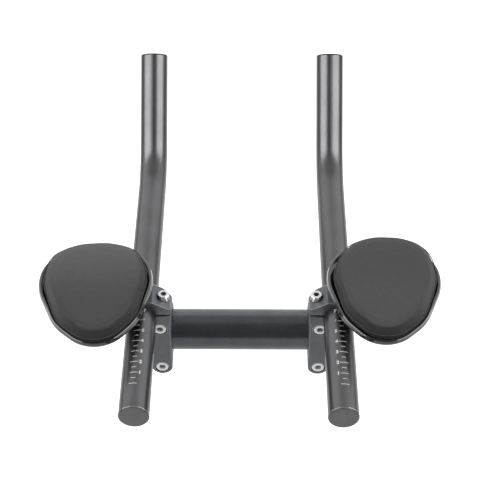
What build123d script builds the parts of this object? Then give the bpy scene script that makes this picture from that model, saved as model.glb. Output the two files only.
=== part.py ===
from build123d import *
import os

# Clip-on aero handlebar extension: two bent tubes with armrests, clamped above a short crossbar.
# Millimetres. X to the rider's right, Y forward, Z up. The origin is the middle of the crossbar's axis.

os.makedirs("parts", exist_ok=True)

# Crossbar
bar_od = 31.8
bar_wall = 2.5
bar_length = 160.0

# Extension tubes: straight over the clamps, then bent up into the grips
tube_od = 22.2
tube_wall = 2.0
tube_spacing = 147.6
tube_rise = 37.2
rear_reach = 115.0
straight_run = 235.5
bend_radius = 58.0
bend_angle = 45.0
grip_length = 72.5

# End plugs
plug_flange = 1.2
plug_stem = 12.0
plug_wall = 1.8
plug_edge = 0.7

# Clamps
leg_width = 16.2
leg_offset = 12.8
clamp_back = 20.5
bar_split = 2.0
tube_split = 2.4
split_rise = 1.0
saddle_wall = 4.6
ear_reach = 21.5
ear_depth = 9.0
edge_round = 0.8
corner_round = 3.0

# Front cap of the bar clamp
cap_wall = 4.8
lug_depth = 11.0
cap_relief = 1.5

# Upper cap of the tube clamp, with the arm that carries the armrest
band_wall = 3.7
roof_run = 8.0
ear_end_height = 4.8
ear_round = 7.5
ear_corner = 2.2
arm_depth = 8.0
arm_end_depth = 6.0
arm_overhang = 12.0
arm_round = 8.0

# Fasteners: hexagon socket screws
bolt_size = 6.0
bolt_pitch = 44.0
bolt_head = 10.5
bolt_key = 5.0
pinch_size = 5.0
pinch_head = 8.5
pinch_key = 4.0
pinch_bite = 6.2
pinch_offset = 16.3
pinch_recess = 0.2
rest_screw_size = 5.0
rest_screw_head = 9.5
rest_screw_head_height = 2.7
rest_screw_key = 3.0
rest_screw_pitch = 15.0
rest_screw_bite = 7.0
key_depth_ratio = 0.5
head_chamfer_ratio = 0.1

# Armrests: a dished tray, a hook and loop patch and a foam pad
rest_offset = 33.4
rest_y = -9.7
left_rest_slide = -1.5
left_rest_turn = 4.5
right_rest_slide = 1.6
right_rest_turn = -2.6
tray_radius = 39.5
tray_spread = 4.0
tray_waist_radius = 36.8
tray_waist_back = 17.4
tray_nose_radius = 27.4
tray_nose_back = 30.0
tray_trough = 134.0
tray_wall = 1.6
tray_floor = 2.6
tray_rim = 6.4
tray_bottom_round = 4.0
rim_edge_share = 0.3
boss_height = 2.5
boss_width = 22.0
boss_margin = 11.0
slot_travel = 12.0
patch_thickness = 1.6
patch_margin = 14.0
pad_thickness = 9.7
pad_slope = 1.2
pad_trough = 350.0
pad_bevel_width = 3.8
pad_bevel_drop = 3.6

# Clearances
slide_clearance = 0.05
seat_clearance = 0.05
hole_clearance = 0.25
head_clearance = 0.5
pad_clearance = 0.5

# Places that follow from the sizes above
tube_x = tube_spacing / 2
rest_x = tube_x + rest_offset
bolt_x = tube_x - leg_offset
bar_bore = bar_od / 2 + seat_clearance
tube_bore = tube_od / 2 + slide_clearance
split_low = tube_rise + split_rise - tube_split / 2
split_high = split_low + tube_split
cap_top = tube_rise + tube_od / 2 + band_wall
clamp_depth = clamp_back - bar_split / 2
clamp_mid = -(clamp_back + bar_split / 2) / 2
bolt_seat = clamp_back - bolt_size - head_clearance / 2
pinch_seat = cap_top - pinch_recess - pinch_size
pinch_length = pinch_seat - split_low + pinch_bite
arm_end = rest_x + rest_screw_pitch / 2 + arm_overhang
leg_foot = bolt_pitch / 2
ear_inner = tube_x - ear_reach
ear_outer = tube_x + ear_reach
far = 4 * bar_length

# Layers of an armrest, as heights above its arm and radii of their troughs
floor_top = boss_height + tray_floor
floor_radius = tray_trough - tray_floor
patch_top = floor_top + patch_thickness
patch_radius = floor_radius - patch_thickness
rim_top = boss_height + tray_rim
rim_radius = tray_trough - tray_rim
pad_top = patch_top + pad_thickness
half_width = tray_spread + tray_radius
widest = boss_height + tray_trough - (tray_trough**2 - half_width**2) ** 0.5

rest_planes = {
    "left": Plane(
        Location((-rest_x, rest_y + left_rest_slide, cap_top), (0, 0, left_rest_turn))
    ),
    "right": Plane(
        Location((rest_x, rest_y + right_rest_slide, cap_top), (0, 0, right_rest_turn))
    ),
}


def write(piece, name):
    """Label one finished piece and write it to its file."""
    piece.part.label = name
    export_step(piece.part, f"parts/{name}.step")


def write_pair(right, name):
    """Write a right-hand piece, and its mirror image as the left-hand one."""
    with BuildPart() as left:
        mirror(right.part, about=Plane.YZ)
    write(right, f"right_{name}")
    write(left, f"left_{name}")


def socket_screw(size, head, head_height, key, length, end):
    """A socket screw whose head sits on the given plane, with its shank going below it."""
    with BuildPart(end) as screw:
        Cylinder(head / 2, head_height, align=(Align.CENTER, Align.CENTER, Align.MIN))
        rim = screw.edges().filter_by(GeomType.CIRCLE).sort_by(Axis(end.origin, end.z_dir))[-1]
        chamfer(rim, head_height * head_chamfer_ratio)
        Cylinder(size / 2 - seat_clearance, length, align=(Align.CENTER, Align.CENTER, Align.MAX))
        with BuildSketch(end.offset(head_height)):
            RegularPolygon(key / 2, 6, major_radius=False)
        extrude(amount=-head_height * key_depth_ratio, mode=Mode.SUBTRACT)
    return screw.part


def end_plug(flange_radius, bore_radius, seat):
    """A moulded plug: a flange outside the tube and a hollow stem inside it, along the seat's normal."""
    with BuildPart(seat) as plug:
        Cylinder(flange_radius, plug_flange, align=(Align.CENTER, Align.CENTER, Align.MIN))
        rim = plug.edges().filter_by(GeomType.CIRCLE).sort_by(Axis(seat.origin, seat.z_dir))[-1]
        chamfer(rim, plug_edge)
        stem_radius = bore_radius - seat_clearance
        Cylinder(stem_radius, plug_stem, align=(Align.CENTER, Align.CENTER, Align.MAX))
        Cylinder(
            stem_radius - plug_wall,
            plug_stem,
            align=(Align.CENTER, Align.CENTER, Align.MAX),
            mode=Mode.SUBTRACT,
        )
    return plug.part


# The crossbar and its two end plugs
with BuildPart() as crossbar:
    with BuildSketch(Plane.YZ):
        Circle(bar_od / 2)
        Circle(bar_od / 2 - bar_wall, mode=Mode.SUBTRACT)
    extrude(amount=bar_length / 2, both=True)
write(crossbar, "crossbar")

with BuildPart() as bar_plug:
    add(end_plug(bar_od / 2, bar_od / 2 - bar_wall, Plane.YZ.offset(bar_length / 2)))
write_pair(bar_plug, "bar_plug")

# An extension tube: a round tube swept along its straight run, its bend and its grip
tube_side = Plane((tube_x, -rear_reach, tube_rise), x_dir=(0, 1, 0), z_dir=(1, 0, 0))
with BuildPart() as extension_tube:
    with BuildLine(tube_side) as tube_path:
        straight = Line((0, 0), (straight_run, 0))
        bend = JernArc(straight @ 1, straight % 1, bend_radius, bend_angle)
        PolarLine(bend @ 1, grip_length, direction=bend % 1)
    with BuildSketch(Plane(tube_path.line @ 0, z_dir=tube_path.line % 0)):
        Circle(tube_od / 2)
        Circle(tube_od / 2 - tube_wall, mode=Mode.SUBTRACT)
    sweep(path=tube_path.line)
write_pair(extension_tube, "extension_tube")

tube_rear_end = Plane(tube_path.line @ 0, z_dir=-(tube_path.line % 0))
tube_front_end = Plane(tube_path.line @ 1, z_dir=tube_path.line % 1)
with BuildPart() as rear_plug:
    add(end_plug(tube_od / 2, tube_od / 2 - tube_wall, tube_rear_end))
write_pair(rear_plug, "rear_plug")

with BuildPart() as front_plug:
    add(end_plug(tube_od / 2, tube_od / 2 - tube_wall, tube_front_end))
write_pair(front_plug, "front_plug")

# The clamp body: the rear half of the bar clamp, with the lower saddle of the tube clamp above it
with BuildPart() as clamp_body:
    with BuildSketch(Plane.XZ.offset(bar_split / 2)):
        with Locations((bolt_x, -leg_foot)):
            Circle(leg_width / 2)
            Rectangle(leg_width, leg_foot + split_low, align=(Align.CENTER, Align.MIN))
        with Locations((tube_x, tube_rise)):
            Circle(tube_od / 2 + saddle_wall)
        with Locations((ear_inner, split_low)):
            Rectangle(2 * ear_reach, ear_depth, align=(Align.MIN, Align.MAX))
        with Locations((tube_x, split_low)):
            Rectangle(far, far, align=(Align.CENTER, Align.MIN), mode=Mode.SUBTRACT)
    extrude(amount=clamp_depth)
    upright = clamp_body.edges().filter_by(Axis.Y)
    fillet(upright.sort_by(Axis.X)[-2:], corner_round)
    back_edges = clamp_body.faces().sort_by(Axis.Y)[0].edges()
    chamfer(back_edges, edge_round)
    with Locations(Location((0, 0, 0), (0, 90, 0))):
        Cylinder(bar_bore, far, mode=Mode.SUBTRACT)
    with Locations(Location((tube_x, 0, tube_rise), (90, 0, 0))):
        Cylinder(tube_bore, far, mode=Mode.SUBTRACT)
    with Locations(Plane.XZ.offset(clamp_back)):
        with Locations((bolt_x, leg_foot), (bolt_x, -leg_foot)):
            CounterBoreHole(
                bolt_size / 2 + hole_clearance,
                bolt_head / 2 + head_clearance,
                clamp_back - bolt_seat,
            )
    with Locations(Plane.XY.offset(split_low)):
        with Locations((tube_x - pinch_offset, clamp_mid), (tube_x + pinch_offset, clamp_mid)):
            Hole(pinch_size / 2, ear_depth + head_clearance)
write_pair(clamp_body, "clamp_body")

# The front cap of the bar clamp: a hump round the bar between two flat lugs
with BuildPart() as bar_cap:
    with BuildSketch(Plane.YZ.offset(bolt_x - leg_width / 2)):
        Circle(bar_od / 2 + cap_wall)
        with Locations((bar_split / 2, 0)):
            Rectangle(lug_depth, bolt_pitch + leg_width, align=(Align.MIN, Align.CENTER))
            Rectangle(far, far, align=(Align.MAX, Align.CENTER), mode=Mode.SUBTRACT)
        Circle(bar_bore, mode=Mode.SUBTRACT)
    extrude(amount=leg_width)
    with BuildSketch(Plane.XZ.offset(-bar_od)):
        with Locations((bolt_x, 0)):
            SlotCenterToCenter(bolt_pitch, leg_width, rotation=90)
    extrude(amount=bar_od, mode=Mode.INTERSECT)
    with Locations(Location((tube_x, 0, tube_rise), (90, 0, 0))):
        Cylinder(tube_od / 2 + cap_relief, far, mode=Mode.SUBTRACT)
    with Locations(Plane.XZ.offset(-bar_split / 2)):
        with Locations((bolt_x, leg_foot), (bolt_x, -leg_foot)):
            Hole(bolt_size / 2)
write_pair(bar_cap, "bar_cap")

# The two bolts that close the bar clamp, with their heads facing the rider
with BuildPart() as bar_bolts:
    for height in (leg_foot, -leg_foot):
        seat = Plane((bolt_x, -bolt_seat, height), x_dir=(1, 0, 0), z_dir=(0, -1, 0))
        add(
            socket_screw(
                bolt_size, bolt_head, bolt_size, bolt_key, bolt_seat + bar_split / 2 + lug_depth, seat
            )
        )
write_pair(bar_bolts, "bar_bolts")

# The upper cap of the tube clamp: a sloped ear inboard, a flat arm for the armrest outboard
with BuildPart() as tube_cap:
    with BuildSketch(Plane.XZ.offset(bar_split / 2)):
        with BuildLine():
            Polyline(
                (ear_inner, split_high),
                (ear_inner, split_high + ear_end_height),
                (tube_x - roof_run, cap_top),
                (arm_end, cap_top),
                (arm_end, cap_top - arm_end_depth),
                (ear_outer + arm_depth, cap_top - arm_depth),
                (ear_outer, split_high),
                close=True,
            )
        make_face()
    extrude(amount=clamp_depth)
    tips = tube_cap.edges().filter_by(Axis.Z).sort_by(Axis.X)
    fillet(tips[-2:], arm_round)
    rear_tip, front_tip = tips[:2].sort_by(Axis.Y)
    fillet(rear_tip, ear_corner)
    fillet(front_tip, ear_round)
    with Locations(Location((tube_x, 0, tube_rise), (90, 0, 0))):
        Cylinder(tube_bore, far, mode=Mode.SUBTRACT)
    with Locations(Plane.XY.offset(cap_top)):
        with Locations((tube_x - pinch_offset, clamp_mid), (tube_x + pinch_offset, clamp_mid)):
            CounterBoreHole(
                pinch_size / 2 + hole_clearance,
                pinch_head / 2 + head_clearance,
                cap_top - pinch_seat,
            )
        with Locations((rest_x, clamp_mid)):
            with GridLocations(rest_screw_pitch, 0, 2, 1):
                Hole(rest_screw_size / 2)
write_pair(tube_cap, "tube_cap")

# The two pinch screws that close the tube clamp
with BuildPart() as pinch_screws:
    for offset in (-pinch_offset, pinch_offset):
        seat = Plane((tube_x + offset, clamp_mid, pinch_seat))
        add(socket_screw(pinch_size, pinch_head, pinch_size, pinch_key, pinch_length, seat))
write_pair(pinch_screws, "pinch_screws")

# The screws that hold an armrest tray on its arm
tray_seat = floor_top - rest_screw_head_height - hole_clearance
with BuildPart() as tray_screws:
    for offset in (-rest_screw_pitch / 2, rest_screw_pitch / 2):
        seat = Plane((rest_x + offset, clamp_mid, cap_top + tray_seat))
        add(
            socket_screw(
                rest_screw_size,
                rest_screw_head,
                rest_screw_head_height,
                rest_screw_key,
                tray_seat + rest_screw_bite,
                seat,
            )
        )
write_pair(tray_screws, "tray_screws")


def rest_outline(inset):
    """The armrest's plan outline, an egg with its narrow end to the rear, moved in by inset."""
    with Locations((tray_spread, 0), (-tray_spread, 0)):
        Circle(tray_radius - inset)
    with Locations((0, -tray_waist_back)):
        Circle(tray_waist_radius - inset)
    with Locations((0, -tray_nose_back)):
        Circle(tray_nose_radius - inset)
    make_hull()


def leaning_block(inset):
    """The outline raised into a block, with its sides leaning in like those of a sheet bent to the trough."""
    with BuildPart() as block:
        for height in (0, half_width):
            with BuildSketch(Plane.XY.offset(height)):
                rest_outline(inset)
                scale(by=(1 - (height - widest) / tray_trough, 1, 1), mode=Mode.REPLACE)
        loft(ruled=True)
    return block.part


def trough(lowest, radius, mode, slope=0):
    """A long cylinder along the forearm, with its lowest line at this height above the arm, rising forwards."""
    with Locations(Location((0, 0, lowest + radius), (90 + slope, 0, 0))):
        Cylinder(radius, far, mode=mode)


# The space inside a tray, in the armrest's own frame
with BuildPart() as tray_hollow:
    add(leaning_block(tray_wall))
    trough(floor_top, floor_radius, Mode.INTERSECT)

# The tray's dished and rimmed shell, in the same frame
with BuildPart() as tray_shell:
    add(leaning_block(0))
    trough(boss_height, tray_trough, Mode.INTERSECT)
    underside = tray_shell.faces().sort_by(Axis.Z)[0]
    fillet(underside.edges(), tray_bottom_round)
    trough(rim_top, rim_radius, Mode.SUBTRACT)
    add(tray_hollow.part, mode=Mode.SUBTRACT)
    rim = tray_shell.faces().sort_by(Axis.Z)[-1]
    chamfer(rim.edges(), tray_wall * rim_edge_share)

# The hook and loop patch that lies on the tray's floor
with BuildPart() as patch_form:
    with BuildSketch():
        rest_outline(patch_margin)
    extrude(amount=tray_trough)
    trough(floor_top, floor_radius, Mode.INTERSECT)
    trough(patch_top, patch_radius, Mode.SUBTRACT)

# The foam pad, dished like the tray, thinner to the rear and bevelled round its upper edge
with BuildPart() as pad_form:
    add(leaning_block(tray_wall + pad_clearance))
    trough(patch_top, patch_radius, Mode.INTERSECT)
    trough(pad_top, pad_trough, Mode.SUBTRACT, pad_slope)
    crown = pad_form.faces().sort_by(SortBy.AREA)[-2:].sort_by(Axis.Z)[-1]
    chamfer(crown.edges(), pad_bevel_width, pad_bevel_drop, reference=crown)

# Each armrest stands on its own arm, slid and turned on its two screws
for side, rest_plane in rest_planes.items():
    arm_x = rest_x if side == "right" else -rest_x
    boss_spot = rest_plane.to_local_coords(Vector(arm_x, clamp_mid, cap_top))
    screw_spots = [
        rest_plane.to_local_coords(Vector(arm_x + offset, clamp_mid, cap_top))
        for offset in (-rest_screw_pitch / 2, rest_screw_pitch / 2)
    ]

    with BuildPart(rest_plane) as tray:
        add(tray_shell.part)
        with BuildSketch(rest_plane):
            with Locations((boss_spot.X, boss_spot.Y)):
                RectangleRounded(rest_screw_pitch + 2 * boss_margin, boss_width, corner_round)
        extrude(amount=floor_top)
        add(tray_hollow.part, mode=Mode.SUBTRACT)
        for depth, width in (
            (0, rest_screw_size + 2 * hole_clearance),
            (tray_seat, rest_screw_head + 2 * head_clearance),
        ):
            with BuildSketch(rest_plane.offset(depth)):
                with Locations(*[(spot.X, spot.Y) for spot in screw_spots]):
                    SlotOverall(slot_travel + width, width, rotation=90)
            extrude(amount=tray_rim, mode=Mode.SUBTRACT)
    write(tray, f"{side}_tray")

    with BuildPart(rest_plane) as hook_and_loop:
        add(patch_form.part)
    write(hook_and_loop, f"{side}_hook_and_loop")

    with BuildPart(rest_plane) as arm_pad:
        add(pad_form.part)
    write(arm_pad, f"{side}_arm_pad")
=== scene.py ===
# %% [markdown]
# # An aero handlebar extension
# Two bent tubes slide in clamps above a short crossbar, and a padded armrest sits beside each one.
# The solid model comes in as a fixed frame. This lesson gives it its looks: a camera, a studio, finishes,
# sewn pads, an etched scale on each tube and the bare edges where the tubes were cut.
# All lengths are in metres.

# %% Load the solid model
import math

import bmesh
import bpy
from mathutils import Matrix, Vector


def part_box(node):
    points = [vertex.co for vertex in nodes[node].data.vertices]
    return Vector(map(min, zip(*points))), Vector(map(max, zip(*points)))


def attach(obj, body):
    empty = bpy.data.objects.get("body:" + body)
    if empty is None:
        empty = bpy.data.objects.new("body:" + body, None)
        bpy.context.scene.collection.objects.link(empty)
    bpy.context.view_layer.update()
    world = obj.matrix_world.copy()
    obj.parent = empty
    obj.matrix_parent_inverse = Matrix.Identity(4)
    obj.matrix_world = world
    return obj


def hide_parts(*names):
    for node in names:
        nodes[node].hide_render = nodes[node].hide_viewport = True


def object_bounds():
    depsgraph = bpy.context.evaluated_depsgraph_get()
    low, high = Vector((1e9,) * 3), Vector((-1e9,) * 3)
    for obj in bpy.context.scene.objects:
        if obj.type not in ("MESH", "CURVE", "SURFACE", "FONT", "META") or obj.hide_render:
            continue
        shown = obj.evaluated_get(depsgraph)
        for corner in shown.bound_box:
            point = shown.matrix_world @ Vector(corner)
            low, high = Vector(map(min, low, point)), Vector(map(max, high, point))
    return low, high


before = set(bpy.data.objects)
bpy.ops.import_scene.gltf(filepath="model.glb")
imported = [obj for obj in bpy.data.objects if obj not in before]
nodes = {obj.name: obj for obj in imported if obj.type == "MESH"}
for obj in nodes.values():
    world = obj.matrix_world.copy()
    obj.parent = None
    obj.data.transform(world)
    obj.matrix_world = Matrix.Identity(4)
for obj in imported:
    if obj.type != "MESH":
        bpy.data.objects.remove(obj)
cad_box = [list(corner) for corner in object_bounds()]
scene = bpy.context.scene
MM = 0.001
SIDES = {"left": -1, "right": 1}
print(len(nodes), "nodes in", cad_box)

# %% [markdown]
# ## The camera
# The photograph was taken from above and behind the rider's seat, with a long lens, so the tubes hardly
# converge. A camera looks along its own -Z axis with +Y up. It could be aimed at a point by a constraint,
# but three turns in a row say plainly how it is held: a small roll, then a pitch, then a small yaw.

# %% Place the camera
CAMERA_PLACE = Vector((8.75, -692.3, 778.7)) * MM
CAMERA_PITCH = math.radians(44.51)
CAMERA_YAW = math.radians(0.71)
CAMERA_ROLL = math.radians(-0.30)
FOCAL_PIXELS = 1326.4
IMAGE_PIXELS = 480
SENSOR_MM = 36.0
NEAREST = 0.05

camera_data = bpy.data.cameras.new("camera")
camera_data.sensor_width = SENSOR_MM
camera_data.lens = FOCAL_PIXELS / IMAGE_PIXELS * SENSOR_MM
camera_data.clip_start = NEAREST
camera = bpy.data.objects.new("camera", camera_data)
scene.collection.objects.link(camera)
turn = (
    Matrix.Rotation(CAMERA_YAW, 4, "Z")
    @ Matrix.Rotation(math.pi / 2 - CAMERA_PITCH, 4, "X")
    @ Matrix.Rotation(CAMERA_ROLL, 4, "Z")
)
camera.matrix_world = Matrix.Translation(CAMERA_PLACE) @ turn
scene.camera = camera
print("lens", round(camera_data.lens, 1), "mm")

# %% [markdown]
# ## The studio
# Black metal shows little colour of its own: its look is what it mirrors. So the studio has three parts,
# and each one draws its own bands on the tubes: a floor below, a room around and two soft boxes.
# The floor and the room look white to the camera and have other levels for the light on the object.
# A Light Path node tells the two apart, which keeps the backdrop white without flooding the object.

# %% Helpers for the studio


def linked(tree, kind, *values, **settings):
    """A new node of this kind, with the values on its first sockets. Its first output is returned."""
    made = tree.nodes.new(kind)
    for key, setting in settings.items():
        setattr(made, key, setting)
    for value, socket in zip(values, made.inputs):
        tree.links.new(value, socket)
    return made.outputs[0]


def background_switch(tree):
    """1 for what the camera sees, by itself or through something clear, and 0 for light on the object."""
    path = tree.nodes.new("ShaderNodeLightPath").outputs
    seen = (path["Is Camera Ray"], path["Is Transmission Ray"])
    return linked(tree, "ShaderNodeMath", *seen, operation="MAXIMUM")


def fade(tree, value, span, levels):
    """A smooth change from the first level to the second, while the value runs over the span."""
    ranged = tree.nodes.new("ShaderNodeMapRange")
    ranged.interpolation_type = "SMOOTHSTEP"
    for socket, level in zip(("From Min", "From Max", "To Min", "To Max"), (*span, *levels)):
        ranged.inputs[socket].default_value = level
    tree.links.new(value, ranged.inputs["Value"])
    return ranged.outputs["Result"]


def split(tree, vector):
    """The X, Y and Z of a vector, as named outputs."""
    parts = tree.nodes.new("ShaderNodeSeparateXYZ")
    tree.links.new(vector, parts.inputs[0])
    return parts.outputs


def glow(tree, kind, strength=1.0):
    """A white glow: an Emission on a surface, or a Background in a world."""
    lit = tree.nodes.new(kind)
    lit.inputs["Color"].default_value = (1, 1, 1, 1)
    lit.inputs["Strength"].default_value = strength
    return lit


print("the object's lowest point is at", round(cad_box[0][2], 4), "m")

# %% [markdown]
# ### The floor
# The object floats over a white sheet, and a sheet well below it keeps the shadow soft and faint.
# Shiny metal mirrors a strip of white paper there, which is darker beyond its sides and to the rear.

# %% Lay the floor
FLOOR_DROP = 0.30
FLOOR_HALF = 6.0
FLOOR_COLOUR = (0.8, 0.8, 0.8, 1)
FLOOR_GLOW = 0.75
PAPER_SIDE = (0.7, 1.1)
PAPER_SIDE_LEVELS = (1.0, 0.2)
PAPER_REAR = (-0.4, 0.2)
PAPER_REAR_LEVELS = (0.65, 1.0)

floor_mesh = bpy.data.meshes.new("floor")
sheet = bmesh.new()
bmesh.ops.create_grid(sheet, x_segments=1, y_segments=1, size=FLOOR_HALF)
bmesh.ops.translate(sheet, verts=sheet.verts, vec=(0, 0, cad_box[0][2] - FLOOR_DROP))
sheet.to_mesh(floor_mesh)
sheet.free()
floor = bpy.data.objects.new("floor", floor_mesh)
scene.collection.objects.link(floor)

floor_paint = bpy.data.materials.new("white_floor")
floor_paint.use_nodes = True
tree = floor_paint.node_tree
tree.nodes.clear()
matte = tree.nodes.new("ShaderNodeBsdfDiffuse")
matte.inputs["Color"].default_value = FLOOR_COLOUR
lit = glow(tree, "ShaderNodeEmission", FLOOR_GLOW)
white = linked(tree, "ShaderNodeAddShader", matte.outputs[0], lit.outputs[0])
plain = linked(tree, "ShaderNodeMixShader", background_switch(tree), matte.outputs[0], white)
place = split(tree, tree.nodes.new("ShaderNodeTexCoord").outputs["Object"])
aside = linked(tree, "ShaderNodeMath", place["X"], operation="ABSOLUTE")
across = fade(tree, aside, PAPER_SIDE, PAPER_SIDE_LEVELS)
along = fade(tree, place["Y"], PAPER_REAR, PAPER_REAR_LEVELS)
level = linked(tree, "ShaderNodeMath", across, along, operation="MULTIPLY")
paper = glow(tree, "ShaderNodeEmission")
tree.links.new(level, paper.inputs["Strength"])
mirrored = tree.nodes.new("ShaderNodeLightPath").outputs["Is Glossy Ray"]
surface = linked(tree, "ShaderNodeMixShader", mirrored, plain, paper.outputs[0])
tree.links.new(surface, tree.nodes.new("ShaderNodeOutputMaterial").inputs["Surface"])
floor_mesh.materials.append(floor_paint)
print("floor", FLOOR_DROP, "m below the object")

# %% [markdown]
# ### The room
# The room is pale in front, which gives the straight tubes their grey. It is darker overhead, and darkest
# behind the camera. An image of a room could light it too, but two fades are easier to set.

# %% Light the room
FRONT_LIGHT = 1.05
BACK_LIGHT = 0.18
CEILING_LIGHT = 0.47
FRONT_SPAN = (-0.45, 0.8)
CEILING_SPAN = (0.62, 0.82)

world = bpy.data.worlds.new("studio")
scene.world = world
world.use_nodes = True
tree = world.node_tree
tree.nodes.clear()
direction = split(tree, tree.nodes.new("ShaderNodeTexCoord").outputs["Generated"])
forward = fade(tree, direction["Y"], FRONT_SPAN, (BACK_LIGHT, FRONT_LIGHT))
overhead = fade(tree, direction["Z"], CEILING_SPAN, (FRONT_LIGHT, CEILING_LIGHT))
level = linked(tree, "ShaderNodeMath", forward, overhead, operation="MINIMUM")
room = glow(tree, "ShaderNodeBackground")
tree.links.new(level, room.inputs["Strength"])
white = glow(tree, "ShaderNodeBackground")
seen = background_switch(tree)
surface = linked(tree, "ShaderNodeMixShader", seen, room.outputs[0], white.outputs[0])
tree.links.new(surface, tree.nodes.new("ShaderNodeOutputWorld").inputs["Surface"])
print("room from", BACK_LIGHT, "behind to", FRONT_LIGHT, "in front")

# %% [markdown]
# ### The soft boxes
# Two broad lamps at the sides draw the long bright bands on the grips. A grip is a cylinder, so it mirrors
# what stands round its axis. Each lamp is therefore placed by turning the line to the camera about that axis.

# %% Hang the soft boxes
GRIPS = Vector((0, 0.19, 0.08))
GRIP_AXIS = Vector((0, 1, 1)).normalized()
TO_CAMERA = Vector((0, -1, 1)).normalized()
BOX_DISTANCE = 1.3
BOX_WIDTH = 1.48
BOX_HEIGHT = 0.9
BOX_RAISE = 0.2
BOX_BEARING = math.radians(54.5)
BOX_BRIGHTNESS = 3.1


def soft_box(name, bearing):
    """A lamp that stands off the camera's line to the grips by this bearing, and faces the grips."""
    aim = Matrix.Rotation(bearing, 3, GRIP_AXIS) @ TO_CAMERA
    along = GRIP_AXIS.cross(aim)
    lamp = bpy.data.lights.new(name, "AREA")
    lamp.shape = "RECTANGLE"
    lamp.size = BOX_WIDTH
    lamp.size_y = BOX_HEIGHT
    # At a brightness of 1 the box looks as bright as white
    lamp.energy = BOX_BRIGHTNESS * math.pi * BOX_WIDTH * BOX_HEIGHT
    box = bpy.data.objects.new(name, lamp)
    scene.collection.objects.link(box)
    turned = Matrix((along, GRIP_AXIS, aim)).transposed().to_4x4()
    box.matrix_world = Matrix.Translation(GRIPS + aim * BOX_DISTANCE + GRIP_AXIS * BOX_RAISE) @ turned


for side, sign in SIDES.items():
    soft_box(f"{side}_box", sign * BOX_BEARING)

# %% [markdown]
# ## Finishes
# A finish is a small graph of nodes. Images could hold the patterns, but noise needs no files and has no
# seams. The helpers below start a material, add a noise measured in the object's own space, and turn a
# pattern into a range of values, a colour or fine relief.

# %% Helpers for finishes
NOISE_SPAN = (0.3, 0.7)
# Rays that feel for a recess or an edge, how open a place is from recess to plain face, and how far the
# surface turns from edge to plain face
FEELER_RAYS = 8
OPEN_SPAN = (0.25, 0.75)
EDGE_SPAN = (0.8, 0.97)


class Finish:
    """A material in the making: its node tree, its shader and the object's own coordinates."""

    def __init__(self, name, metallic=0.0, roughness=0.5, **constants):
        self.material = bpy.data.materials.new(name)
        self.material.use_nodes = True
        self.tree = self.material.node_tree
        self.shader = self.tree.nodes["Principled BSDF"]
        self.place = self.node("ShaderNodeTexCoord").outputs["Object"]
        self.shader.inputs["Metallic"].default_value = metallic
        self.shader.inputs["Roughness"].default_value = roughness
        for socket, value in constants.items():
            self.shader.inputs[socket.replace("_", " ")].default_value = value

    def node(self, kind, **settings):
        made = self.tree.nodes.new(kind)
        for key, value in settings.items():
            setattr(made, key, value)
        return made

    def join(self, a, b):
        self.tree.links.new(a, b)

    def noise(self, scale, detail=3.0, stretch=(1, 1, 1)):
        """Noise with about this many features to the metre, drawn out along an axis by stretch."""
        mapping = self.node("ShaderNodeMapping")
        mapping.inputs["Scale"].default_value = stretch
        self.join(self.place, mapping.inputs["Vector"])
        noise = self.node("ShaderNodeTexNoise")
        noise.inputs["Scale"].default_value = scale
        noise.inputs["Detail"].default_value = detail
        self.join(mapping.outputs[0], noise.inputs["Vector"])
        return noise.outputs[0]

    def spread(self, pattern, low, high, span=NOISE_SPAN):
        """The pattern's values over the span, as values from low to high."""
        ranged = self.node("ShaderNodeMapRange")
        for socket, value in zip(("From Min", "From Max", "To Min", "To Max"), (*span, low, high)):
            ranged.inputs[socket].default_value = value
        self.join(pattern, ranged.inputs["Value"])
        return ranged.outputs["Result"]

    def colour(self, pattern, dark, light):
        """Base colour from dark to light, by the pattern."""
        ramp = self.node("ShaderNodeValToRGB")
        for stop, position, tone in zip(ramp.color_ramp.elements, NOISE_SPAN, (dark, light)):
            stop.position = position
            stop.color = (*tone, 1)
        self.join(pattern, ramp.inputs["Fac"])
        self.join(ramp.outputs["Color"], self.shader.inputs["Base Color"])

    def scale_colour(self, factor):
        """Multiply the base colour by the factor."""
        scaled = self.node("ShaderNodeVectorMath", operation="SCALE")
        self.join(self.shader.inputs["Base Color"].links[0].from_socket, scaled.inputs[0])
        self.join(factor, scaled.inputs["Scale"])
        self.join(scaled.outputs[0], self.shader.inputs["Base Color"])

    def darken(self, attribute):
        """Take the base colour down to black where this attribute of the mesh is 1."""
        source = self.node("ShaderNodeAttribute", attribute_name=attribute)
        self.scale_colour(self.spread(source.outputs["Fac"], 1.0, 0.0, span=(0, 1)))

    def grime(self, reach, level):
        """Take the base colour down to this level in recesses narrower than reach: painted shade where less
        light falls.
        """
        hollow = self.node("ShaderNodeAmbientOcclusion", samples=FEELER_RAYS)
        hollow.inputs["Distance"].default_value = reach
        self.scale_colour(self.spread(hollow.outputs["AO"], level, 1.0, span=OPEN_SPAN))

    def bright_edges(self, reach, level):
        """Take the base colour up to this level within reach of an edge: a painted highlight where edges
        catch light.
        """
        rounded = self.node("ShaderNodeBevel", samples=FEELER_RAYS)
        rounded.inputs["Radius"].default_value = reach
        facing = self.node("ShaderNodeVectorMath", operation="DOT_PRODUCT")
        self.join(rounded.outputs[0], facing.inputs[0])
        self.join(self.node("ShaderNodeNewGeometry").outputs["Normal"], facing.inputs[1])
        self.scale_colour(self.spread(facing.outputs["Value"], level, 1.0, span=EDGE_SPAN))

    def rough(self, pattern, low, high):
        """Roughness from low to high, by the pattern."""
        self.join(self.spread(pattern, low, high), self.shader.inputs["Roughness"])

    def relief(self, pattern, height):
        """Fine relief of this height."""
        bump = self.node("ShaderNodeBump")
        bump.inputs["Strength"].default_value = 1.0
        bump.inputs["Distance"].default_value = height
        self.join(pattern, bump.inputs["Height"])
        self.join(bump.outputs[0], self.shader.inputs["Normal"])


print("noise is read between", *NOISE_SPAN)
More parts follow.
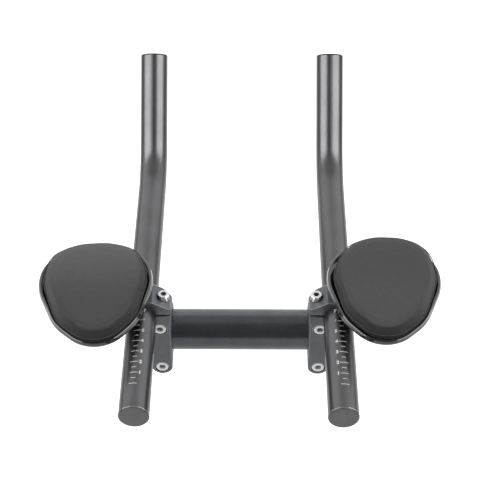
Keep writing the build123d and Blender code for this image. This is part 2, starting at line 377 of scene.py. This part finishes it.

# %% [markdown]
# ### Metal finishes
# The tubes and the crossbar are aluminium, anodised black: satin mirrors with a very fine grain along their
# length, which a noise drawn out along one axis gives. The clamps are blasted first, so they look flatter and
# a little blue. Their edges carry a painted highlight, and painted shade darkens the recesses of the clamps,
# bolts and pinch screws. The bolts are zinc plated, bright and slightly cloudy, and the pinch screws are
# polished.

# %% Make the metal finishes
ALONG_TUBE = (1, 0.15, 1)
ALONG_BAR = (0.15, 1, 1)

tube_finish = Finish("satin_black_tube", metallic=1.0, roughness=0.31)
grain = tube_finish.noise(1400, stretch=ALONG_TUBE)
tube_finish.colour(tube_finish.noise(60), dark=(0.150, 0.150, 0.154), light=(0.175, 0.175, 0.180))
tube_finish.rough(grain, 0.28, 0.34)
tube_finish.relief(grain, 0.001 * MM)

bar_finish = Finish("satin_black_bar", metallic=1.0, roughness=0.26)
grain = bar_finish.noise(1400, stretch=ALONG_BAR)
bar_finish.colour(bar_finish.noise(60), dark=(0.116, 0.121, 0.133), light=(0.146, 0.152, 0.165))
bar_finish.rough(grain, 0.23, 0.29)
bar_finish.relief(grain, 0.001 * MM)

clamp_finish = Finish("blasted_black_clamp", metallic=0.7, roughness=0.45)
grain = clamp_finish.noise(2500)
clamp_finish.colour(clamp_finish.noise(80), dark=(0.143, 0.148, 0.157), light=(0.177, 0.182, 0.193))
clamp_finish.rough(grain, 0.42, 0.52)
clamp_finish.relief(grain, 0.010 * MM)
# Painted highlight along the clamps' edges
clamp_finish.bright_edges(0.9 * MM, 4.5)
# Painted shade in the clamps' recesses and slit
clamp_finish.grime(6 * MM, 0.15)

zinc_finish = Finish("zinc_plate", metallic=0.35, roughness=0.28)
grain = zinc_finish.noise(900)
zinc_finish.colour(grain, dark=(0.92, 0.93, 0.92), light=(0.98, 0.98, 0.97))
zinc_finish.rough(zinc_finish.noise(400), 0.22, 0.35)
zinc_finish.relief(grain, 0.004 * MM)
# Painted shade in the bolts' sockets and round their heads
zinc_finish.grime(4 * MM, 0.35)

polished_finish = Finish("polished_screw", metallic=1.0, roughness=0.2)
grain = polished_finish.noise(900)
polished_finish.colour(grain, dark=(0.88, 0.89, 0.89), light=(0.96, 0.96, 0.96))
polished_finish.rough(polished_finish.noise(400), 0.14, 0.24)
polished_finish.relief(grain, 0.003 * MM)
# Painted shade in the pinch screws' sockets
polished_finish.grime(4 * MM, 0.2)

metals = (tube_finish, bar_finish, clamp_finish, zinc_finish, polished_finish)
print("metals", [finish.material.name for finish in metals])

# %% [markdown]
# ### Plastic finishes
# The trays are moulded and glossy, and a clear coat over a nearly black base gives the thin bright lines on
# their rims. The rear plugs have the satin look of the tubes that they close, and the plugs at the tips are
# plain black.

# %% Make the plastic finishes
tray_finish = Finish("gloss_black_tray", roughness=0.12, IOR=1.6, Coat_Weight=1.0, Coat_Roughness=0.05)
tray_finish.colour(tray_finish.noise(90), dark=(0.010, 0.010, 0.011), light=(0.016, 0.016, 0.017))
tray_finish.rough(tray_finish.noise(500), 0.09, 0.16)
tray_finish.relief(tray_finish.noise(160), 0.010 * MM)

plug_finish = Finish("satin_black_plug", metallic=0.8, roughness=0.35)
grain = plug_finish.noise(1800)
plug_finish.colour(plug_finish.noise(120), dark=(0.175, 0.175, 0.178), light=(0.205, 0.205, 0.208))
plug_finish.rough(grain, 0.32, 0.4)
plug_finish.relief(grain, 0.002 * MM)

tip_finish = Finish("black_tip_plug", roughness=0.5)
grain = tip_finish.noise(1800)
tip_finish.colour(tip_finish.noise(120), dark=(0.014, 0.014, 0.015), light=(0.022, 0.022, 0.023))
tip_finish.rough(grain, 0.45, 0.55)
tip_finish.relief(grain, 0.004 * MM)

plastics = (tray_finish, plug_finish, tip_finish)
print("plastics", [finish.material.name for finish in plastics])

# %% [markdown]
# ### Cloth finishes
# The pads wear a thin knitted cover. Its stitches are about half a millimetre wide, far too many to model, so
# two sets of fine waves that cross each other make the knit as relief. Slow noise gives the uneven dye, and
# an attribute of the mesh holds painted light and shade, which darkens the cover where less light falls. The
# hem is a plain thread, and the patches under the pads are hook and loop tape.

# %% Make the cloth finishes
# A wave texture with a scale of 1 has this many waves to the metre
PLAIN_WAVES = 10 / math.pi
WAVE_DISTORTION = 1.5
WAVE_DETAIL = 1.0


def knit(finish, per_metre, height):
    """Relief of two crossing sets of fine waves."""
    waves = []
    for direction in ("X", "Y"):
        wave = finish.node("ShaderNodeTexWave", bands_direction=direction)
        wave.inputs["Scale"].default_value = per_metre / PLAIN_WAVES
        wave.inputs["Distortion"].default_value = WAVE_DISTORTION
        wave.inputs["Detail"].default_value = WAVE_DETAIL
        finish.join(finish.place, wave.inputs["Vector"])
        waves.append(wave.outputs["Fac"])
    finish.relief(linked(finish.tree, "ShaderNodeMath", *waves, operation="MULTIPLY"), height)


pad_finish = Finish(
    "knitted_pad_cover", roughness=0.9, Sheen_Weight=0.25, Sheen_Roughness=0.5, Specular_IOR_Level=0.2
)
knit(pad_finish, 1600, 0.2 * MM)
pad_finish.colour(pad_finish.noise(220, detail=6), dark=(0.090, 0.090, 0.093), light=(0.101, 0.101, 0.104))
# Painted light and shade: the cover is darkened by the shade that each point holds
pad_finish.darken("shade")

hem_finish = Finish("hem_thread", roughness=0.7)
hem_finish.colour(hem_finish.noise(900), dark=(0.034, 0.034, 0.036), light=(0.050, 0.050, 0.052))
hem_finish.relief(hem_finish.noise(1600), 0.1 * MM)

loop_finish = Finish("hook_and_loop", roughness=0.95)
knit(loop_finish, 900, 0.4 * MM)
loop_finish.colour(loop_finish.noise(700), dark=(0.015, 0.015, 0.016), light=(0.035, 0.035, 0.036))

cloths = (pad_finish, hem_finish, loop_finish)
print("cloths", [finish.material.name for finish in cloths])

# %% [markdown]
# ### Which piece has which finish
# Left and right pieces are alike, so one table without the sides gives every node of the solid model its
# finish. The solid pads are in it too, although the sewn pads below take their place.

# %% Give the solid nodes their finishes
NODE_FINISH = {
    "crossbar": bar_finish,
    "bar_plug": plug_finish,
    "extension_tube": tube_finish,
    "rear_plug": plug_finish,
    "front_plug": tip_finish,
    "clamp_body": clamp_finish,
    "bar_cap": clamp_finish,
    "bar_bolts": zinc_finish,
    "tube_cap": clamp_finish,
    "pinch_screws": polished_finish,
    "tray_screws": zinc_finish,
    "tray": tray_finish,
    "hook_and_loop": loop_finish,
    "arm_pad": pad_finish,
}
for name, node in nodes.items():
    kind = name.removeprefix("left_").removeprefix("right_")
    node.data.materials.clear()
    node.data.materials.append(NODE_FINISH[kind].material)
print("finishes on", len(nodes), "nodes")

# %% [markdown]
# ## The arm pads
# A pad is foam under a knitted cover, pressed to shape: an egg in plan, with a broad bevel round its top.
# The egg could be drawn as a curve, but one convex hull round four short cylinders gives it with true arcs.
# Its top face is then inset and raised, which makes the bevel.

# %% Shape the egg block
TRAY_RADIUS = 39.5 * MM
TRAY_SPREAD = 4.0 * MM
PAD_SPREAD = 2.6 * MM
# Each cylinder's radius, and how far it stands aside and back
OUTLINE = (
    (TRAY_RADIUS, PAD_SPREAD, 0),
    (TRAY_RADIUS, -PAD_SPREAD, 0),
    (36.8 * MM, 0, 17.4 * MM),
    (27.4 * MM, 0, 30.0 * MM),
)
PAD_INSET = 2.8 * MM
PAD_HEIGHT = 9.7 * MM
BEVEL_WIDTH = 4.6 * MM
BEVEL_DROP = 4.2 * MM
BEVEL_AHEAD = 1.0 * MM
ROUND_STEPS = 96
FLAT_ANGLE = math.radians(1)


def egg_block(inset, height):
    """A flat block with the armrest's outline, moved in by inset, standing on the XY plane."""
    shape = bmesh.new()
    for radius, aside, back in OUTLINE:
        bmesh.ops.create_cone(
            shape,
            cap_ends=True,
            segments=ROUND_STEPS,
            radius1=radius - inset,
            radius2=radius - inset,
            depth=height,
            matrix=Matrix.Translation((aside, -back, height / 2)),
        )
    hull = bmesh.ops.convex_hull(shape, input=shape.verts)
    spare = hull["geom_interior"] + hull["geom_unused"]
    inside = {item for item in spare if isinstance(item, bmesh.types.BMVert)}
    bmesh.ops.delete(shape, geom=list(inside), context="VERTS")
    bmesh.ops.dissolve_limit(shape, angle_limit=FLAT_ANGLE, verts=shape.verts, edges=shape.edges)
    bmesh.ops.recalc_face_normals(shape, faces=shape.faces)
    return shape


def top_face(shape):
    """The highest face of a block."""
    return max(shape.faces, key=lambda face: face.calc_center_median().z)


def pad_block():
    """The pad's block, with the broad bevel round its top."""
    shape = egg_block(PAD_INSET, PAD_HEIGHT - BEVEL_DROP)
    top = top_face(shape)
    bmesh.ops.inset_region(shape, faces=[top], thickness=BEVEL_WIDTH, depth=BEVEL_DROP, use_even_offset=True)
    bmesh.ops.translate(shape, verts=top.verts, vec=(0, BEVEL_AHEAD, 0))
    bmesh.ops.triangulate(shape, faces=shape.faces)
    return shape


def piece_from(shape, name):
    """A new object, linked to the scene, with the shape as its mesh."""
    mesh = bpy.data.meshes.new(name)
    shape.to_mesh(mesh)
    shape.free()
    piece = bpy.data.objects.new(name, mesh)
    scene.collection.objects.link(piece)
    return piece


form = piece_from(pad_block(), "pad_form")
print("block", len(form.data.polygons), "faces")

# %% [markdown]
# ### The swollen cover
# Foam pushes its cover out, so every edge of a pad is soft. A bevel would make all edges alike. Instead the
# block is meshed evenly and blown up a little as cloth, and no point may move further than a small limit.

# %% Blow the block up as cloth
VOXEL = 1.0 * MM
SWELL_LIMIT = 0.5 * MM
CLOTH_PRESSURE = 4.0
CLOTH_FRAMES = 14


def applied(piece):
    """Put the result of the piece's modifiers into its mesh."""
    bpy.context.view_layer.update()
    result = piece.evaluated_get(bpy.context.evaluated_depsgraph_get())
    mesh = bpy.data.meshes.new_from_object(result)
    old = piece.data
    piece.modifiers.clear()
    piece.data = mesh
    bpy.data.meshes.remove(old)


def even_mesh(piece):
    """Mesh the piece evenly, in small square faces."""
    remesh = piece.modifiers.new("even", "REMESH")
    remesh.mode = "VOXEL"
    remesh.voxel_size = VOXEL
    applied(piece)


def swell(piece):
    """Blow the piece up as cloth, with no point moved past the limit or below the floor of the tray."""
    start = [vertex.co.copy() for vertex in piece.data.vertices]
    cloth = piece.modifiers.new("cover", "CLOTH")
    cloth.settings.use_pressure = True
    cloth.settings.uniform_pressure_force = CLOTH_PRESSURE
    cloth.settings.effector_weights.gravity = 0.0
    for number in range(1, CLOTH_FRAMES + 1):
        scene.frame_set(number)
    applied(piece)
    scene.frame_set(1)
    for vertex, place in zip(piece.data.vertices, start):
        move = vertex.co - place
        if move.length > SWELL_LIMIT:
            move *= SWELL_LIMIT / move.length
        vertex.co = place + move
        vertex.co.z = max(vertex.co.z, 0.0)


even_mesh(form)
swell(form)
print("form", len(form.data.polygons), "faces")

# %% [markdown]
# ### The pad in its tray
# A tray is a trough, so the flat pad is bent to it: its underside follows the trough, its top is much flatter
# and its sides lean in with the tray's walls. The pads are stuck on by hand, and no two sit alike: the upper
# front of each leans over the rim by its own amount, and the right one is a little askew. A lattice could
# bend them, but a short formula on each point keeps the sizes in sight.

# %% Work out how a pad bends
TRAY_TROUGH = 134 * MM
PATCH_TROUGH = 129.8 * MM
PAD_TROUGH = 350 * MM
PAD_FLOOR = 6.7 * MM
PAD_SLOPE = math.tan(math.radians(1.2))
TRAY_WIDEST = 9.76 * MM
REST_TURN = {"left": math.radians(4.5), "right": math.radians(-2.6)}
# How far each pad sits off the middle of its tray, how far its upper front leans, by what share that front
# is narrower, and how far its corners come forward
PAD_SHIFT = {"left": Vector((0, -0.6, 0)) * MM, "right": Vector((0.7, 0.8, 0)) * MM}
PAD_LEAN = {"left": Vector((-0.7, 4.4, 0)) * MM, "right": Vector((2.5, 5.6, 1.8)) * MM}
PAD_NARROW = {"left": -0.02, "right": 0.05}
PAD_CORNER = 3.5 * MM
# The lean grows upwards and forwards, over these spans
LEAN_RISE = (2 * MM, 7 * MM)
LEAN_LENGTH = (-8 * MM, 28 * MM)


def rest_place(side):
    """Where an armrest's own frame stands: over the widest part of its tray, on top of its arm."""
    low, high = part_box(f"{side}_tray")
    arm_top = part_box(f"{side}_tube_cap")[1].z
    reach = TRAY_RADIUS + TRAY_SPREAD * math.sin(abs(REST_TURN[side]))
    middle = Vector(((low.x + high.x) / 2, high.y - reach, arm_top))
    return Matrix.Translation(middle) @ Matrix.Rotation(REST_TURN[side], 4, "Z")


def rise(radius, x):
    """How far a trough of this radius has risen at a distance from its lowest line."""
    return radius - math.sqrt(radius**2 - x**2)


def share(value, start, end):
    """0 up to start and 1 from end on, with a smooth change between."""
    part = min(max((value - start) / (end - start), 0), 1)
    return part * part * (3 - 2 * part)


def dished(point, side):
    """A point of a flat pad, bent to the tray of this side."""
    part = min(max(point.z / PAD_HEIGHT, 0), 1)
    top_rise = rise(PAD_TROUGH, point.x) + PAD_SLOPE * point.y
    up = PAD_FLOOR + point.z + rise(PATCH_TROUGH, point.x) * (1 - part) + top_rise * part
    inwards = 1 - (up - TRAY_WIDEST) / TRAY_TROUGH
    corner = PAD_CORNER * (point.x / TRAY_RADIUS) ** 2
    pushed = PAD_LEAN[side] + Vector((-PAD_NARROW[side] * point.x, corner, 0))
    pushed *= share(point.z, *LEAN_RISE) * share(point.y, *LEAN_LENGTH)
    return Vector((point.x * inwards, point.y, up)) + pushed + PAD_SHIFT[side]


print("pads stand at", [tuple(round(x, 4) for x in rest_place(side).translation) for side in SIDES])

# %% [markdown]
# ### The painted shade of the covers
# How the light falls on the covers is painted into their colour. The left cover is lighter towards its front,
# and the right one is nearly even. The bevels are darkest at the rear and lightest on the outer side. A
# number at each point of the mesh holds this painted light and shade. It is worked out before the pad is
# bent, so it follows the cover whatever its shape.

# %% Bend, shade and place the pads
PAD_MIDDLE = Vector((0, -12 * MM))
FRONT_SHADE = {"left": 0.0, "right": 0.48}
BACK_SHADE = {"left": 0.54, "right": 0.45}
REAR_SHADE = 0.74
INNER_SHADE = 0.60
OUTER_SHADE = 0.24
FADE_LENGTH = (-24 * MM, 40 * MM)
BEVEL_EDGE = (0.2 * MM, 0.9 * MM)


def cover_shade(point, side):
    """How dark the painted light and shade make the cover at a point of a flat pad: 0 is as dyed and 1 is
    black.
    """
    faded = share(point.y, *FADE_LENGTH)
    top = FRONT_SHADE[side] * faded + BACK_SHADE[side] * (1 - faded)
    away = (Vector((SIDES[side] * point.x, point.y)) - PAD_MIDDLE).normalized()
    side_shade = OUTER_SHADE if away.x > 0 else INNER_SHADE
    end_shade = top if away.y > 0 else REAR_SHADE
    bevel = end_shade * away.y**2 + side_shade * away.x**2
    part = share(PAD_HEIGHT - point.z, *BEVEL_EDGE)
    return top * (1 - part) + bevel * part


def smooth(piece):
    """Shade the piece without facets."""
    piece.data.polygons.foreach_set("use_smooth", [True] * len(piece.data.polygons))


for side in SIDES:
    pad = bpy.data.objects.new(f"{side}_pad", form.data.copy())
    scene.collection.objects.link(pad)
    # Painted light and shade, held at each point for the cover's colour
    shades = [cover_shade(vertex.co, side) for vertex in pad.data.vertices]
    pad.data.attributes.new("shade", "FLOAT", "POINT").data.foreach_set("value", shades)
    for vertex in pad.data.vertices:
        vertex.co = dished(vertex.co, side)
    pad.data.transform(rest_place(side))
    finer = pad.modifiers.new("finer", "SUBSURF")
    finer.levels = finer.render_levels = 1
    smooth(pad)
    pad.data.materials.append(pad_finish.material)
    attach(pad, "base")
    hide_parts(f"{side}_arm_pad")
    print(pad.name, len(pad.data.polygons), "faces")
bpy.data.objects.remove(form)

# %% [markdown]
# ### The hem
# The cover is closed by a hem round the foot of the bevel. A curve with a round section is the short way to
# a bead of thread: its line comes from the same egg block, and is dished and placed like the pad.

# %% Sew a hem round each pad
HEM_RADIUS = 0.35 * MM
HEM_ROUNDING = 2


def mesh_of(curve):
    """The mesh that a curve or a text makes."""
    drawn = bpy.data.objects.new(curve.name, curve)
    scene.collection.objects.link(drawn)
    bpy.context.view_layer.update()
    mesh = bpy.data.meshes.new_from_object(drawn)
    bpy.data.objects.remove(drawn)
    return mesh


def hem_mesh(side):
    """A round bead along the foot of the bevel."""
    block = egg_block(PAD_INSET - SWELL_LIMIT, PAD_HEIGHT - BEVEL_DROP)
    place = rest_place(side)
    points = [place @ dished(vertex.co, side) for vertex in top_face(block).verts]
    block.free()
    line = bpy.data.curves.new("hem", "CURVE")
    line.dimensions = "3D"
    line.bevel_depth = HEM_RADIUS
    line.bevel_resolution = HEM_ROUNDING
    spline = line.splines.new("POLY")
    spline.points.add(len(points) - 1)
    for spot, point in zip(spline.points, points):
        spot.co = (*point, 1)
    spline.use_cyclic_u = True
    return mesh_of(line)


for side in SIDES:
    hem = bpy.data.objects.new(f"{side}_hem", hem_mesh(side))
    scene.collection.objects.link(hem)
    smooth(hem)
    hem.data.materials.clear()
    hem.data.materials.append(hem_finish.material)
    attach(hem, "base")
    print(hem.name, len(hem.data.polygons), "faces")

# %% [markdown]
# ## The scale on the tubes
# A scale is etched along each tube, so that both can be set alike: a long mark and a number at each
# centimetre and a short mark between. An image could carry it, but real shapes stay sharp from near by.
# The marks lie on a round tube, so each is made flat and then rolled round the tube's axis, a hair above
# the metal.

# %% Roll a flat mark onto a tube
TUBE_RADIUS = 11.1 * MM
MARK_LIFT = 0.04 * MM
SCALE_ZERO = 20.9 * MM
MARK_STEP = 5 * MM
LONG_MARK = 6.0 * MM
SHORT_MARK = 3.3 * MM
MARK_WIDTH = 0.45 * MM
MARK_MIDDLE = 1.6 * MM
MARK_SEGMENTS = 8
NUMBER_INNER = 2.9 * MM
NUMBER_SIZE = 3.8 * MM
NUMBER_BOLD = 0.2 * MM
LAST_CENTIMETRE = 8


def rolled(mesh, axis_point):
    """Roll a flat mesh round a tube that lies along Y: its X runs round the tube and its Z stands off it."""
    for vertex in mesh.vertices:
        angle = vertex.co.x / TUBE_RADIUS
        radius = TUBE_RADIUS + MARK_LIFT + vertex.co.z
        vertex.co = axis_point + Vector((radius * math.sin(angle), vertex.co.y, radius * math.cos(angle)))


def line_mark(shape, length, y):
    """One mark across the tube, as a strip fine enough to be rolled."""
    strip = bmesh.ops.create_grid(shape, x_segments=MARK_SEGMENTS, y_segments=1, size=0.5)["verts"]
    bmesh.ops.scale(shape, verts=strip, vec=(length, MARK_WIDTH, 1))
    bmesh.ops.translate(shape, verts=strip, vec=(MARK_MIDDLE, y, 0))


def number_mesh(text):
    """A number as a flat mesh, centred on the origin."""
    letters = bpy.data.curves.new("number", "FONT")
    letters.body = text
    letters.size = NUMBER_SIZE
    letters.offset = NUMBER_BOLD
    letters.align_x = "CENTER"
    letters.align_y = "CENTER"
    return mesh_of(letters)


def rear_end(side):
    """The point on a tube's axis at its rear end."""
    low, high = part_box(f"{side}_extension_tube")
    return Vector(((low.x + high.x) / 2, low.y, low.z + TUBE_RADIUS))


print("a long mark spans", round(math.degrees(LONG_MARK / TUBE_RADIUS)), "degrees of its tube")

# %% [markdown]
# ### The two scales
# The numbers stand on the inner side of their marks, so the left scale is the right one turned over.
# A number would then read backwards, so on the left it is turned over once more before it is set.

# %% Etch both scales
mark_finish = Finish("etched_mark", roughness=0.6)
mark_finish.colour(mark_finish.noise(2500), dark=(0.60, 0.60, 0.61), light=(0.80, 0.80, 0.81))

for side, sign in SIDES.items():
    shape = bmesh.new()
    for step in range(2 * LAST_CENTIMETRE + 1):
        length = SHORT_MARK if step % 2 else LONG_MARK
        line_mark(shape, length, step * MARK_STEP)
    for centimetre in range(1, LAST_CENTIMETRE + 1):
        mesh = number_mesh(str(centimetre))
        beside = Matrix.Translation((-NUMBER_INNER, 2 * centimetre * MARK_STEP, 0))
        mesh.transform(beside @ Matrix.Diagonal((sign, 1, 1, 1)))
        shape.from_mesh(mesh)
        bpy.data.meshes.remove(mesh)
    bmesh.ops.scale(shape, verts=shape.verts, vec=(sign, 1, 1))
    bmesh.ops.triangulate(shape, faces=shape.faces)
    bmesh.ops.recalc_face_normals(shape, faces=shape.faces)
    scale_piece = piece_from(shape, f"{side}_scale")
    rolled(scale_piece.data, rear_end(side) + Vector((0, SCALE_ZERO, 0)))
    scale_piece.data.materials.append(mark_finish.material)
    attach(scale_piece, f"{side}_extension")
    print(scale_piece.name, len(scale_piece.data.polygons), "faces")

# %% [markdown]
# ## The cut ends of the tubes
# Where a tube was cut, its edge is bare aluminium, so a fine bright line shows between the tube and its plug.
# A bright stripe in the finish would do from afar. A small circle spun round the tube's axis catches the
# light as a real edge does.

# %% Turn a bright edge for each rear end
EDGE_RADIUS = 0.25 * MM
EDGE_SUNK = 0.1 * MM
EDGE_STEPS = 10
RING_STEPS = 96

edge_finish = Finish("bare_edge", metallic=1.0, roughness=0.25)
edge_finish.colour(edge_finish.noise(900), dark=(0.42, 0.42, 0.43), light=(0.60, 0.60, 0.61))
edge_finish.rough(edge_finish.noise(1500), 0.2, 0.35)

for side in SIDES:
    end = rear_end(side)
    shape = bmesh.new()
    on_top = Matrix.Translation(end + Vector((0, 0, TUBE_RADIUS - EDGE_SUNK)))
    upright = on_top @ Matrix.Rotation(math.pi / 2, 4, "Y")
    circle = bmesh.ops.create_circle(shape, segments=EDGE_STEPS, radius=EDGE_RADIUS, matrix=upright)
    bmesh.ops.spin(
        shape,
        geom=circle["verts"] + shape.edges[:],
        cent=end,
        axis=(0, 1, 0),
        angle=2 * math.pi,
        steps=RING_STEPS,
        use_merge=True,
    )
    bmesh.ops.recalc_face_normals(shape, faces=shape.faces)
    ring = piece_from(shape, f"{side}_cut_edge")
    smooth(ring)
    ring.data.materials.append(edge_finish.material)
    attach(ring, f"{side}_extension")
    print(ring.name, len(ring.data.polygons), "faces")

# %% [markdown]
# ## The view
# The looks must not change the object's size. Last, the colours are shown as they are written,
# with the Standard view transform.

# %% Set the view transform
scene.view_settings.view_transform = "Standard"
